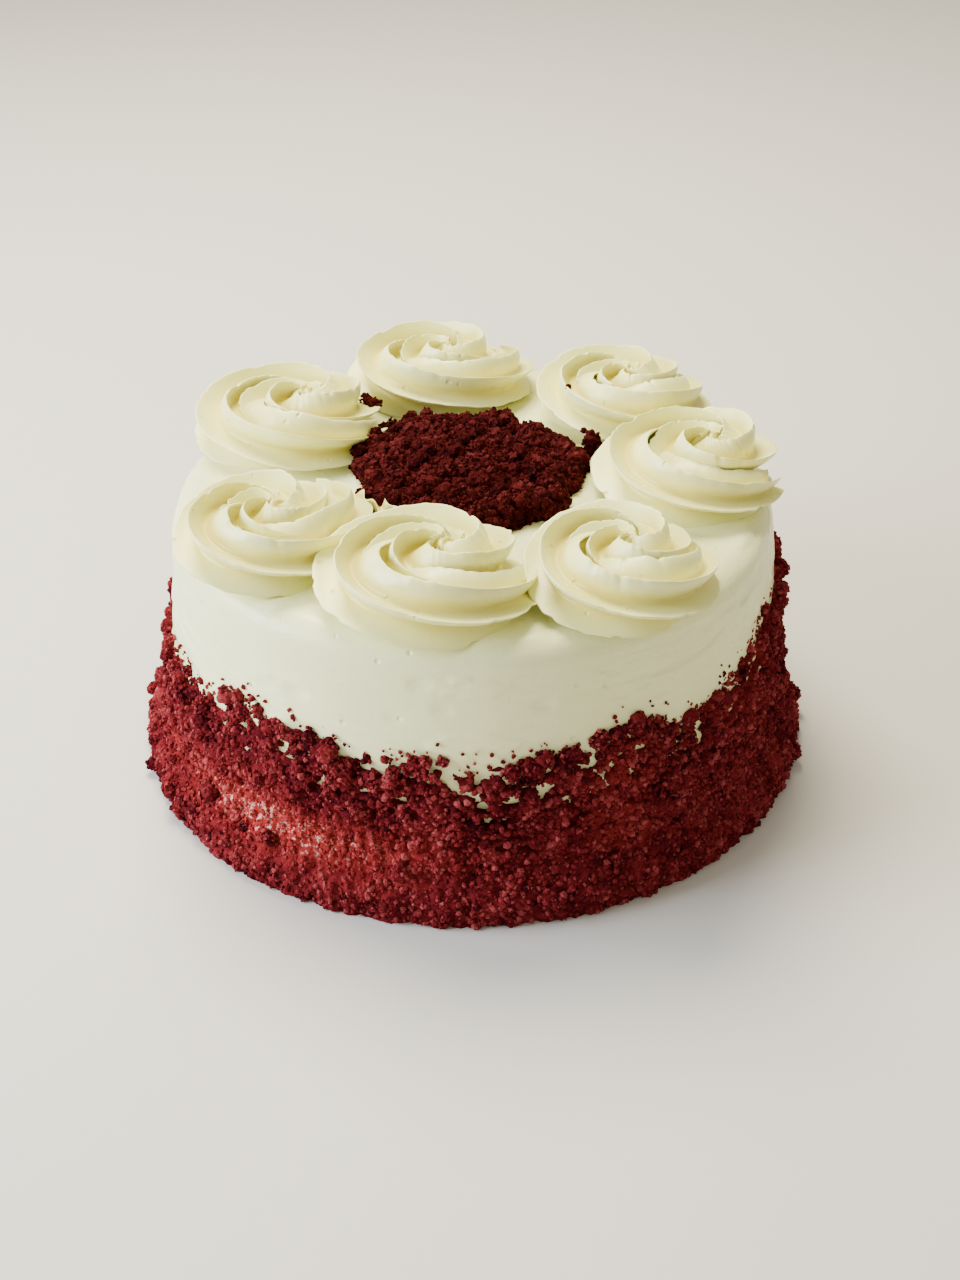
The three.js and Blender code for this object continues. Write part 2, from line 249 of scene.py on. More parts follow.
def placePiece(name, mesh, material, slotName, *nodes, smooth=True):
    mesh.materials.append(material)
    mesh.polygons.foreach_set("use_smooth", np.full(len(mesh.polygons), smooth))
    piece = bpy.data.objects.new(name, mesh)
    bpy.context.scene.collection.objects.link(piece)
    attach(piece, "root")
    if nodes:
        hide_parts(*nodes)


# Materials. Inputs and outputs of a group are given as {label: kind}.
def newGroup(name, inputs, outputs):
    group = bpy.data.node_groups.new(name, "ShaderNodeTree")
    for label, kind in inputs.items():
        group.interface.new_socket(label, in_out="INPUT", socket_type="NodeSocket" + kind)
    for label, kind in outputs.items():
        group.interface.new_socket(label, in_out="OUTPUT", socket_type="NodeSocket" + kind)
    return group, group.nodes.new("NodeGroupInput"), group.nodes.new("NodeGroupOutput")


def noiseNode(tree, place, scale, detail=2.0, roughness=0.5):
    node = tree.nodes.new("ShaderNodeTexNoise")
    node.inputs["Scale"].default_value = scale
    node.inputs["Detail"].default_value = detail
    node.inputs["Roughness"].default_value = roughness
    tree.links.new(place, node.inputs["Vector"])
    return node.outputs["Fac"]


def rangeNode(tree, value, low, high, toLow=0.0, toHigh=1.0):
    node = tree.nodes.new("ShaderNodeMapRange")
    tree.links.new(value, node.inputs["Value"])
    for label, number in (("From Min", low), ("From Max", high), ("To Min", toLow), ("To Max", toHigh)):
        node.inputs[label].default_value = number
    return node.outputs["Result"]


# A look's noise brought to the range of the same name.
def spotNode(tree, place, look, name):
    return rangeNode(tree, noiseNode(tree, place, *look[name + "Noise"]), *look[name + "Range"])


def mathNode(tree, operation, first, second):
    node = tree.nodes.new("ShaderNodeMath")
    node.operation = operation
    for index, value in enumerate((first, second)):
        if isinstance(value, float):
            node.inputs[index].default_value = value
        else:
            tree.links.new(value, node.inputs[index])
    return node.outputs[0]


def mixColour(tree, factor, first, second):
    node = tree.nodes.new("ShaderNodeMix")
    node.data_type = "RGBA"
    tree.links.new(factor, node.inputs["Factor"])
    for label, value in (("A", first), ("B", second)):
        socket = next(s for s in node.inputs if s.name == label and s.type == "RGBA")
        tree.links.new(value, socket)
    return next(s for s in node.outputs if s.type == "RGBA")


# A noise is its scale, detail and roughness; a range is from low and high, to low and high.
creamLook = {
    "mottleNoise": (55.0, 3.0), "mottleRange": (0.3, 0.7, 0.0, 0.25),
    "holeScale": 170.0, "holeRange": (0.07, 0.17, 1.0, 0.0),
    "pickNoise": (90.0, 1.0), "pickRange": (0.50, 0.58),
    "dragStretch": (1.0, 1.0, 5.0), "dragNoise": (130.0, 4.0, 0.6),
    "fineNoise": (700.0, 3.0, 0.6), "fineHeight": 0.3,
    "shineNoise": (70.0, 2.0), "shineRange": (0.35, 0.65, 0.24, 0.38),
}


# Whipped cream surface: faint mottling, soft drag marks and small popped air holes. Its colour goes
# towards a second colour by the mottling and by the fold: by the fold this is painted shade and warm
# bounce light in the grooves, partly the cream's own yellower tone.
def creamGroup():
    group, source, sink = newGroup(
        "creamSurface",
        {"Place": "Vector", "Fold": "Float", "Colour": "Color", "Mottle And Fold Shade Colour": "Color",
         "Air Holes": "Float", "Drag Marks": "Float"},
        {"Colour": "Color", "Height": "Float", "Roughness": "Float"})
    place = source.outputs["Place"]
    mottle = spotNode(group, place, creamLook, "mottle")
    # Fold adds painted shade and bounce light in the grooves; mottle adds random tone.
    tone = mathNode(group, "ADD", source.outputs["Fold"], mottle)
    colour = mixColour(group, tone, source.outputs["Colour"], source.outputs["Mottle And Fold Shade Colour"])
    holes = group.nodes.new("ShaderNodeTexVoronoi")
    holes.inputs["Scale"].default_value = creamLook["holeScale"]
    group.links.new(place, holes.inputs["Vector"])
    hole = rangeNode(group, holes.outputs["Distance"], *creamLook["holeRange"])
    pick = spotNode(group, place, creamLook, "pick")
    pit = mathNode(group, "MULTIPLY", mathNode(group, "MULTIPLY", hole, pick), source.outputs["Air Holes"])
    stretch = group.nodes.new("ShaderNodeMapping")
    stretch.inputs["Scale"].default_value = creamLook["dragStretch"]
    group.links.new(place, stretch.inputs["Vector"])
    streaks = noiseNode(group, stretch.outputs["Vector"], *creamLook["dragNoise"])
    drag = mathNode(group, "MULTIPLY", streaks, source.outputs["Drag Marks"])
    grit = noiseNode(group, place, *creamLook["fineNoise"])
    fine = mathNode(group, "MULTIPLY", grit, creamLook["fineHeight"])
    height = mathNode(group, "SUBTRACT", mathNode(group, "ADD", drag, fine), pit)
    shine = spotNode(group, place, creamLook, "shine")
    group.links.new(colour, sink.inputs["Colour"])
    group.links.new(height, sink.inputs["Height"])
    group.links.new(shine, sink.inputs["Roughness"])
    return group


crumbLook = {
    "grainNoise": (1300.0, 3.0, 0.65), "grainShade": (0.2, 0.8, -0.35, 0.35),
    "patchNoise": (85.0, 2.0), "patchRange": (0.25, 0.75, -0.22, 0.22),
    "darkRange": (0.0, 0.5), "lightRange": (0.5, 1.0),
    "dustRange": (0.35, 0.6, 0.5, 1.0), "bareRange": (0.35, 0.8, 0.0, 0.9),
    "speckNoise": (620.0, 2.0, 0.6), "speckRange": (0.55, 0.63),
    "crustNoise": (520.0, 2.0), "crustHeight": 1.4,
    "stains": {"Dust": (0.42, 0.035, 0.030), "Bare": (0.78, 0.42, 0.36)},
}


# Crumb surface: dark, middle or light by the shade value, which fine crust and patches break up. On loose
# crumbs the shade is a random tone of each crumb; on the beds it is painted shade in their hollows. Where
# the crumbs lie thinly it is stained with dust and shows specks of bare frosting.
def crumbGroup():
    group, source, sink = newGroup(
        "crumbSurface",
        {"Place": "Vector", "Shade": "Float", "Thin": "Float", "Dark": "Color", "Middle": "Color",
         "Light": "Color", "Dust": "Color", "Bare": "Color"},
        {"Colour": "Color", "Height": "Float"})
    place, thin = source.outputs["Place"], source.outputs["Thin"]
    grain = noiseNode(group, place, *crumbLook["grainNoise"])
    crusty = rangeNode(group, grain, *crumbLook["grainShade"])
    shade = mathNode(group, "ADD", source.outputs["Shade"], crusty)
    shade = mathNode(group, "ADD", shade, spotNode(group, place, crumbLook, "patch"))
    lower = mixColour(group, rangeNode(group, shade, *crumbLook["darkRange"]),
                      source.outputs["Dark"], source.outputs["Middle"])
    whole = mixColour(group, rangeNode(group, shade, *crumbLook["lightRange"]),
                      lower, source.outputs["Light"])
    dust = mathNode(group, "MULTIPLY", thin, rangeNode(group, grain, *crumbLook["dustRange"]))
    stained = mixColour(group, dust, whole, source.outputs["Dust"])
    speck = spotNode(group, place, crumbLook, "speck")
    bare = mathNode(group, "MULTIPLY", rangeNode(group, thin, *crumbLook["bareRange"]), speck)
    colour = mixColour(group, bare, stained, source.outputs["Bare"])
    crust = noiseNode(group, place, *crumbLook["crustNoise"])
    height = mathNode(group, "ADD", grain, mathNode(group, "MULTIPLY", crust, crumbLook["crustHeight"]))
    group.links.new(colour, sink.inputs["Colour"])
    group.links.new(height, sink.inputs["Height"])
    return group


creamSurface = creamGroup()
crumbSurface = crumbGroup()

finish = {
    "bumpStrength": 0.6, "creamBump": 0.35, "crumbBump": 0.5,
    "creamGlow": 0.14, "creamGlowRadius": (1.0, 0.8, 0.45), "creamGlowDepth": 0.9, "creamSpecular": 0.45,
    "crumbRoughness": 0.9, "crumbSpecular": 0.03,
}


# A material round one group. Values are set on its inputs, and fields are read from attributes.
def surfaceMaterial(name, group, values, fields, bumpDistance):
    paint = bpy.data.materials.new(name)
    paint.use_nodes = True
    tree = paint.node_tree
    shader = tree.nodes["Principled BSDF"]
    surface = tree.nodes.new("ShaderNodeGroup")
    surface.node_tree = group
    place = tree.nodes.new("ShaderNodeTexCoord")
    tree.links.new(place.outputs["Object"], surface.inputs["Place"])
    for label, value in values.items():
        surface.inputs[label].default_value = (*value, 1) if isinstance(value, tuple) else value
    for label, layer in fields.items():
        reader = tree.nodes.new("ShaderNodeAttribute")
        reader.attribute_name = layer
        tree.links.new(reader.outputs["Fac"], surface.inputs[label])
    tree.links.new(surface.outputs["Colour"], shader.inputs["Base Color"])
    bump = tree.nodes.new("ShaderNodeBump")
    bump.inputs["Strength"].default_value = finish["bumpStrength"]
    bump.inputs["Distance"].default_value = bumpDistance * mm
    tree.links.new(surface.outputs["Height"], bump.inputs["Height"])
    tree.links.new(bump.outputs["Normal"], shader.inputs["Normal"])
    return paint, surface, shader


def creamMaterial(name, values, fields):
    paint, surface, shader = surfaceMaterial(name, creamSurface, values, fields, finish["creamBump"])
    paint.node_tree.links.new(surface.outputs["Roughness"], shader.inputs["Roughness"])
    shader.inputs["Subsurface Weight"].default_value = finish["creamGlow"]
    shader.inputs["Subsurface Radius"].default_value = finish["creamGlowRadius"]
    shader.inputs["Subsurface Scale"].default_value = finish["creamGlowDepth"] * mm
    shader.inputs["Specular IOR Level"].default_value = finish["creamSpecular"]
    return paint


def crumbMaterial(name, colours):
    values = {**crumbLook["stains"], **colours}
    fields = {"Shade": "shade", "Thin": "thin"}
    paint, surface, shader = surfaceMaterial(name, crumbSurface, values, fields, finish["crumbBump"])
    shader.inputs["Roughness"].default_value = finish["crumbRoughness"]
    shader.inputs["Specular IOR Level"].default_value = finish["crumbSpecular"]
    return paint


spreadCream = creamMaterial(
    "spreadFrosting",
    {"Colour": (0.88, 0.91, 0.52), "Mottle And Fold Shade Colour": (0.85, 0.83, 0.40), "Air Holes": 1.6, "Drag Marks": 1.1},
    {})
# Fold colour: painted shade and bounce light in the grooves, partly the cream's own yellower tone.
pipedCream = creamMaterial(
    "pipedFrosting",
    {"Colour": (0.88, 0.90, 0.45), "Mottle And Fold Shade Colour": (0.80, 0.69, 0.12), "Air Holes": 2.6, "Drag Marks": 0.3},
    {"Fold": "foldTintAndShade"})
sideRed = crumbMaterial(
    "sideCrumbs",
    {"Dark": (0.020, 0.001, 0.004), "Middle": (0.165, 0.013, 0.017), "Light": (0.34, 0.062, 0.068)})
heapRed = crumbMaterial(
    "heapCrumbs",
    {"Dark": (0.009, 0.0006, 0.0008), "Middle": (0.047, 0.0036, 0.0038), "Light": (0.105, 0.017, 0.017)})
print("materials are ready")


# The frosted cake.
cake = {
    "height": 88.0, "baseRadius": 100.6, "middleRadius": 97.4, "upperRadius": 94.2,
    "middleHeight": 44.0, "shoulder": 8.0, "baseHole": 0.3,
    "outOfRound": 0.004, "roundWaves": [(1.0, 2, 0.6), (0.7, 3, 2.2)],
    "columns": 630, "baseRows": 4, "sideRows": 108, "shoulderRows": 16, "topRows": 26,
    "noiseHeight": 100.0, "calmFoot": 6.0,
    "spread": [(0.7, (7, 2), 1), (0.30, (34, 6), 2), (0.14, (16, 46), 3)],
    "scrapes": 0.32, "scrapeFrom": (0.12, 0.24), "scrapeNoise": [(1.0, (20, 12), 5), (0.3, (90, 60), 6)],
    "dents": 1.8, "dentFrom": 0.55, "dentNoise": ((26, 7), 4, 0.33),
}


# How far from round the cake is: 1 plus two small waves round the axis.
def roundness(azimuth):
    return 1 + cake["outOfRound"] * ringWaves(azimuth, cake["roundWaves"])


# Radius of the frosted side: straight lines from the base to the middle and on to the shoulder.
def sideRadius(height):
    heights = (0, cake["middleHeight"], cake["height"] - cake["shoulder"])
    return np.interp(height, heights, (cake["baseRadius"], cake["middleRadius"], cake["upperRadius"]))


# Half section carried round the axis: its radius and height follow base, side, shoulder arc and top.
# It is pushed out and in by broad waves, patches and level spatula streaks, out by scrapes, and in by
# a few shallow dents. The push turns upwards along the shoulder.
def cakeSurface():
    bend = np.linspace(0, math.pi / 2, cake["shoulderRows"] + 1)[1:]
    sideTop = cake["height"] - cake["shoulder"]
    sideHeights = np.linspace(0, sideTop, cake["sideRows"])
    inner = cake["upperRadius"] - cake["shoulder"]
    topRadii = inner * (1 - np.linspace(0, 1, cake["topRows"] + 1)[1:-1])
    radius = np.concatenate([
        np.linspace(cake["baseHole"], 1, cake["baseRows"])[:-1] * cake["baseRadius"],
        sideRadius(sideHeights), inner + cake["shoulder"] * np.cos(bend), topRadii])
    height = np.concatenate([
        np.zeros(cake["baseRows"] - 1), sideHeights,
        cake["height"] - cake["shoulder"] * (1 - np.sin(bend)), np.full(len(topRadii), cake["height"])])
    turn = np.arange(cake["columns"]) / cake["columns"]
    azimuth = 2 * math.pi * turn[None, :]
    u, v = np.broadcast_arrays(turn[None, :], (height / cake["noiseHeight"])[:, None])
    scraped = smoothStep(*cake["scrapeFrom"], layered(softNoise, u, v, cake["scrapeNoise"]))
    dented = np.maximum(grainNoise(u, v, *cake["dentNoise"]) - cake["dentFrom"], 0)
    push = layered(softNoise, u, v, cake["spread"]) + cake["scrapes"] * scraped
    push = push - cake["dents"] * dented
    push = push * np.clip(height / cake["calmFoot"], 0, 1)[:, None]
    slope = np.clip((height - sideTop) / cake["shoulder"], 0, 1)[:, None]
    inward = np.clip(radius / inner, 0, 1)[:, None]
    r = (radius[:, None] + push * (1 - slope)) * roundness(azimuth)
    z = height[:, None] + push * slope * inward
    return np.stack([r * np.cos(azimuth), r * np.sin(azimuth), z], -1)


placePiece("frosted_cake", closedGrid("frosted_cake", cakeSurface()), spreadCream, "frosting", "cake_body")
print("frosted cake is modelled")


# The piped rosettes. A layer of noise over a rope is its height, its cells across for each ridge,
# its cells along, and what it adds to the rosette's seed.
nozzle = {
    "ridges": 6, "depth": 0.58, "sharpness": 1.9, "lipRound": 0.16, "lean": 0.32, "crowding": 0.6,
    "start": 2.5, "startSize": 0.82, "startShare": 0.3, "drawnWithin": 34.0,
    "width": 1.12, "flattening": 0.95, "foot": 0.32, "firstLift": 9.6, "lastLift": 7.4, "liftPower": 0.7,
    "tailShare": 0.11, "tailSize": 0.45, "tailDrop": 2.5, "tipReach": 14.0, "flarePower": 1.5,
    "pressure": [(0.04, 2.3), (0.02, 5.7)], "pressurePhases": (0, 6),
    "uneven": [(0.10, 1, 9, 10)], "ripples": [(0.25, 2, 150, 30), (0.125, 3, 40, 40)], "fullRipple": 8.0,
    "tear": 0.9, "tears": [(1.0, 1, 90, 20)], "tearFrom": 0.55, "tearSpan": 0.45,
    "endRows": 10, "endFlatness": 0.96, "endBulge": 2.0,
    "foldShadeOut": 0.6, "foldShadeIn": 0.4, "endFoldShade": 0.2, "poleFoldShades": (0.5, 0.2),
    "rows": 300, "around": 132, "firstSeed": 100,
}

# end: where round the centre the rope ends. twist: turns of the section for each turn of the spiral.
# drawn: how far the middle is drawn along x and y. flare: how far the rope's end runs outwards.
rosetteColumns = (
    "name", "x", "y", "end", "turns", "reach", "rope", "phase", "twist", "wide", "deep", "drawn", "flare")
rosettes = [dict(zip(rosetteColumns, row)) for row in (
    ("rosette_front", -12, -63, -15, 1.9, 24.5, 10.8, -8, -0.56, 1.06, 0.9, (3, 3), 0),
    ("rosette_front_right", 42, -59, 12, 1.9, 22.5, 10.6, 58, -0.55, 0.97, 0.97, (3, 0), 0),
    ("rosette_front_left", -61, -39, 50, 1.95, 23, 10.4, -5, -0.6, 0.96, 0.96, (2, 1), 6.5),
    ("rosette_right", 70, 2, -40, 1.8, 23.5, 10.8, 0, -0.5, 1, 0.96, (4, 2), 0),
    ("rosette_back_left", -58, 35, -30, 1.8, 24.5, 10.8, 20, -0.52, 1.06, 0.92, (3, 1), 0),
    ("rosette_back_right", 50, 52, 15, 1.9, 22.5, 10.2, 40, -0.55, 1, 0.92, (2, -1), 0),
    ("rosette_back", -12, 71, 25, 1.9, 25, 10.6, 10, -0.55, 1.02, 0.84, (2, 0), 0),
)]


# Height of a ridge, 0..1, over its half angle: 1 - |sin| with its crest rounded, to a power.
def ridgeShape(halfAngle):
    soft = nozzle["lipRound"]
    fall = (np.sqrt(np.sin(halfAngle) ** 2 + soft ** 2) - soft) / (math.sqrt(1 + soft ** 2) - soft)
    return (1 - fall) ** nozzle["sharpness"]


def ropeNoise(u, v, layers, seed):
    ridges = nozzle["ridges"]
    return layered(softNoise, u, v, [(height, (ridges * across, along), seed + extra)
                                          for height, across, along, extra in layers])


# A star section carried along an outward spiral. With share 0..1 along the rope and angle round the
# section, reach = start + (last - start) share, radius = size (1 - depth (1 - ridge)) with the ridge
# from ridgeShape, and the section turns by twist for each turn. The pressure on the bag, ripples and
# torn lips vary the radius. The tail gets thinner and lower, and a cap of rows closes it.
def rosetteSurface(rose, seed):
    dice = np.random.default_rng(seed)
    share = sharesDown(nozzle["rows"])
    count = nozzle["ridges"]
    even = anglesRound(nozzle["around"])
    local = even - nozzle["crowding"] * np.sin(count * even) / count
    end = math.radians(rose["end"])
    turn = end - 2 * math.pi * rose["turns"] * (1 - share)
    tail = np.clip((1 - share) / nozzle["tailShare"], 0, 1)
    flare = rose["flare"] * (1 - tail) ** nozzle["flarePower"]
    reach = between(nozzle["start"], rose["reach"], share) + flare
    taper = between(nozzle["tailSize"], 1, np.sin(tail * math.pi / 2))
    pressure = sum((size * np.sin(speed * turn + dice.uniform(*nozzle["pressurePhases"]))
                    for size, speed in nozzle["pressure"]), 1)
    head = smoothStep(0, nozzle["startShare"], share)
    size = rose["rope"] * taper * pressure * between(nozzle["startSize"], 1, head)
    ridge = np.broadcast_to(ridgeShape(count * local / 2), (nozzle["rows"], nozzle["around"]))
    u = np.broadcast_to(even / (2 * math.pi), ridge.shape)
    v = np.broadcast_to(share, ridge.shape)
    uneven = 1 + ropeNoise(u, v, nozzle["uneven"], seed)
    torn = np.maximum(ropeNoise(u, v, nozzle["tears"], seed) - nozzle["tearFrom"], 0)
    torn = nozzle["tear"] * torn / nozzle["tearSpan"]
    rippled = ropeNoise(u, v, nozzle["ripples"], seed)
    radius = size * (1 - nozzle["depth"] * (1 - ridge * uneven)) \
        + (rippled - torn) * ridge * np.clip(size / nozzle["fullRipple"], 0, 1)
    angle = rose["twist"] * turn - math.radians(rose["phase"]) - local + nozzle["lean"] * ridge
    foot = 1 + nozzle["foot"] * np.clip(-np.sin(angle), 0, 1)
    out = reach + radius * nozzle["width"] * foot * np.cos(angle)
    ahead = turn + math.radians(nozzle["tipReach"]) * ridge * (1 - tail) ** 2
    lift = between(nozzle["firstLift"], nozzle["lastLift"], share ** nozzle["liftPower"])
    z = cake["height"] + lift - nozzle["tailDrop"] * (1 - tail) ** 2 \
        + radius * nozzle["flattening"] * np.sin(angle)
    drawn = np.clip(1 - np.abs(out) / nozzle["drawnWithin"], 0, 1) ** 2
    points = np.stack([rose["x"] + rose["wide"] * out * np.cos(ahead) + rose["drawn"][0] * drawn,
                       rose["y"] + rose["deep"] * out * np.sin(ahead) + rose["drawn"][1] * drawn, z], -1)
    close = np.linspace(0, 1, nozzle["endRows"] + 1)[1:, None, None]
    middle = points[-1].mean(0)
    forward = np.array([-math.sin(end), math.cos(end), 0])
    inward = (middle - points[-1])[None] * (1 - np.sqrt(1 - close ** 2)) * nozzle["endFlatness"]
    cap = points[-1][None] + inward
    cap = cap + forward * nozzle["endBulge"] * np.sin(close * math.pi / 2)
    # Painted shade: the fold is deepest between the ridges and more so on the inner turns. The cap gets one
    # fixed value.
    ropeFoldShade = (1 - ridge) ** 2 * (nozzle["foldShadeOut"] + nozzle["foldShadeIn"] * (1 - share))
    capFoldShade = np.full((len(cap), nozzle["around"]), nozzle["endFoldShade"])
    return np.concatenate([points, cap]), np.concatenate([ropeFoldShade, capFoldShade])


# The bud closes a rosette's middle, and the core fills what is under its turns.
bud = {
    "radius": 7.5, "tip": 0.05, "fullness": 0.8, "foot": 4.0, "top": 16.5, "rise": 1.2,
    "ridges": 3, "depth": 0.45, "turn": -110.0, "lean": 1.0, "rows": 40, "around": 72,
}
# The core gets one fixed fold: painted shade, as it lies under the turns.
core = {"radius": 16.0, "shrink": 0.98, "foot": 2.0, "top": 13.0, "rows": 40, "around": 72, "foldTintAndShade": 0.5}


# A star cone: its radius falls by a power of the cosine and its height rises by a power of the sine,
# while it twists and leans.
def budSurface(rose):
    share = sharesDown(bud["rows"])
    even = anglesRound(bud["around"])
    ridge = ridgeShape(bud["ridges"] * even / 2)
    star = 1 - bud["depth"] * (1 - ridge)
    radius = bud["radius"] * np.cos(share * math.pi / 2) ** bud["fullness"] * star + bud["tip"]
    angle = even + math.radians(bud["turn"]) * share + math.radians(rose["phase"])
    rise = np.sin(share * math.pi / 2) ** bud["rise"]
    z = cake["height"] + bud["foot"] + (bud["top"] - bud["foot"]) * rise
    lean = bud["lean"] * share ** 2
    points = np.stack([rose["x"] + rose["drawn"][0] + radius * np.cos(angle) + lean,
                       rose["y"] + rose["drawn"][1] + radius * np.sin(angle),
                       np.broadcast_to(z, angle.shape)], -1)
    # Painted shade: the fold is deepest between the bud's ridges.
    return points, np.broadcast_to((1 - ridge) ** 2, angle.shape)


# A plain dome: its radius shrinks evenly to the middle and its height rises by the sine.
def coreSurface(rose):
    share = sharesDown(core["rows"])
    angle = anglesRound(core["around"])
    radius = core["radius"] * (1 - core["shrink"] * share)
    z = cake["height"] + core["foot"] + (core["top"] - core["foot"]) * np.sin(share * math.pi / 2)
    foldTintAndShade = np.full((core["rows"], core["around"]), core["foldTintAndShade"])
    return np.stack([rose["x"] + radius * np.cos(angle), rose["y"] + rose["deep"] * radius * np.sin(angle),
                     np.broadcast_to(z, foldTintAndShade.shape)], -1), foldTintAndShade


# Fold is how deep a point lies between the ridges, 0..1. The cream is painted darker and yellower there:
# painted shade and warm bounce light in the grooves, partly the cream's own yellower tone.
def pipedPiece(name, points, foldTintAndShade, *nodes, poles=nozzle["poleFoldShades"]):
    mesh = closedGrid(name, points)
    storeValue(mesh, "foldTintAndShade", np.append(foldTintAndShade.ravel(), poles))
    placePiece(name, mesh, pipedCream, "piped_frosting", *nodes)


for index, rose in enumerate(rosettes):
    pipedPiece(rose["name"] + "_bud", *budSurface(rose))
    pipedPiece(rose["name"] + "_core", *coreSurface(rose), poles=(core["foldTintAndShade"], core["foldTintAndShade"]))
    pipedPiece(rose["name"] + "_piping", *rosetteSurface(rose, nozzle["firstSeed"] + index), rose["name"])
print("rosettes are modelled")


# The dragged end of the piping in front of the heap. Heights are over the cake's top.
dragged = {
    "from": (-43, -14, 1.0), "by": (-27, -27, 2.5), "to": (-9, -27.5, 0.5), "radius": 6.6, "endRadius": 2.2,
    "ridges": 6, "depth": 0.42, "turn": 250.0, "sway": 0.9, "rows": 90, "around": 84,
    "ruffles": 34, "ruffleDepth": 0.09, "ruffleTurns": 2, "endPower": 12, "endClosing": 0.999,
}


# A star section carried along a parabola. The radius falls towards the end and closes roundly at
# both ends. Small waves across the path leave the ruffles of a nozzle that was dragged off.
def draggedSurface():
    share = sharesDown(dragged["rows"])
    even = anglesRound(dragged["around"])
    first, bend, last = (np.array(dragged[k], float) for k in ("from", "by", "to"))
    path = (1 - share) ** 2 * first + 2 * share * (1 - share) * bend + share ** 2 * last
    ahead = unit(2 * (1 - share) * (bend - first) + 2 * share * (last - bend))
    across = unit(np.stack([-ahead[:, 1], ahead[:, 0], 0 * ahead[:, 0]], -1))
    path = path + across * dragged["sway"] * np.sin(dragged["ruffles"] * share)
    swell = between(dragged["endRadius"], dragged["radius"], 1 - share ** 2)
    swell = swell * np.sqrt(1 - (2 * share - 1) ** dragged["endPower"] * dragged["endClosing"])
    ridge = ridgeShape(dragged["ridges"] * even / 2)
    ruffled = np.sin(dragged["ruffles"] * share + dragged["ruffleTurns"] * even)
    radius = swell * (1 - dragged["depth"] * (1 - ridge)) * (1 + dragged["ruffleDepth"] * ruffled)
    angle = even + math.radians(dragged["turn"]) * share
    points = path[:, None, :] + across[:, None, :] * (radius * np.cos(angle))[..., None]
    points = points + np.array([0, 0, 1]) * (radius * np.sin(angle))[..., None]
    points[..., 2] += cake["height"]
    # Painted shade: the fold is deepest between the ridges.
    return points, np.broadcast_to((1 - ridge) ** 2, angle.shape)


pipedPiece("piping_dragged_end", *draggedSurface())
print("dragged end is modelled")


# The crumb coat on the side. A noise is its cells and its seed, and "below" is how far under the
# ragged edge something starts and is full.
coat = {
    "footRadius": 108.6, "footHeight": 9.0, "waistRadius": 103.6, "waistHeight": 17.0, "topThickness": 2.6,
    "edge": 53.0, "rise": 14.0, "riseAt": -10.0, "riseWidth": 25.0, "dip": 7.0, "dipAt": -165.0,
    "dipWidth": 20.0, "edgeWaves": [(2.2, 5, 0.5), (2.4, 11, 1.1), (1.6, 19, 2.7)],
    "columns": 900, "rows": 96, "headroom": 10.0, "sunk": 1.6, "noiseHeight": 90.0,
    "thinAt": -126.0, "thinWidth": 25.0, "thinHeight": 20.5, "thinReach": 7.5, "thinShare": 0.95,
    "patchNoise": ((22, 5), 51), "patchHeight": 80.0, "patchAbove": (14, 22), "patchShare": 0.35,
    "edgeLower": 1.5, "edgeSlope": 0.5, "ragged": [(4.0, (90, 14), 52), (2.8, (260, 40), 53)],
    "grains": [(2.1, (130, 18), 54), (0.9, (330, 45), 55), (0.4, (600, 84), 56)], "grainFloor": 2.2,
    "gapNoise": ((130, 32), 57), "gapFrom": (0.20, 0.40), "gapBelow": (15, 3),
    "fleckNoise": ((230, 56), 58), "fleckFrom": (0.27, 0.45), "fleckBelow": (36, 2),
    "wornDepth": 1.6, "bedShade": 0.42, "bedShadeByDepth": 0.12, "darkestBed": 0.22,
}
poleShades = (0.3, 0.3)


# A smooth hill of height 1 round one azimuth: exp(-(distance / width)^2).
def hill(degrees, centre, width):
    apart = (degrees - centre + 540) % 360 - 180
    return np.exp(-((apart / width) ** 2))


# Height of the coat's edge: high on the right, low on the left, with three waves round the cake.
def coatEdge(degrees):
    return coat["edge"] + coat["rise"] * hill(degrees, coat["riseAt"], coat["riseWidth"]) \
        - coat["dip"] * hill(degrees, coat["dipAt"], coat["dipWidth"]) \
        + ringWaves(np.radians(degrees), coat["edgeWaves"])


# Thickness of the bare coat over the frosting: a thick foot, then thinning towards the edge.
def coatThickness(degrees, height):
    waistHeight = coat["waistHeight"]
    waist = coat["waistRadius"] - sideRadius(waistHeight)
    foot = np.interp(height, (coat["footHeight"], waistHeight), (coat["footRadius"], coat["waistRadius"]))
    fall = coat["topThickness"] - waist
    above = waist + fall * (height - waistHeight) / (coatEdge(degrees) - waistHeight)
    return np.where(height < waistHeight, foot - sideRadius(height), above)


# How thinly the crumbs lie, 0..1: one worn patch low on the front left and weaker ones elsewhere.
def thinness(degrees, height):
    worn = hill(degrees, coat["thinAt"], coat["thinWidth"]) \
        * np.exp(-(((height - coat["thinHeight"]) / coat["thinReach"]) ** 2))
    u = (degrees / 360) % 1
    patchy = np.maximum(softNoise(u, height / coat["patchHeight"], *coat["patchNoise"]), 0)
    patchy = patchy * smoothStep(*coat["patchAbove"], height)
    return np.clip(worn * coat["thinShare"] + coat["patchShare"] * patchy, 0, 1)


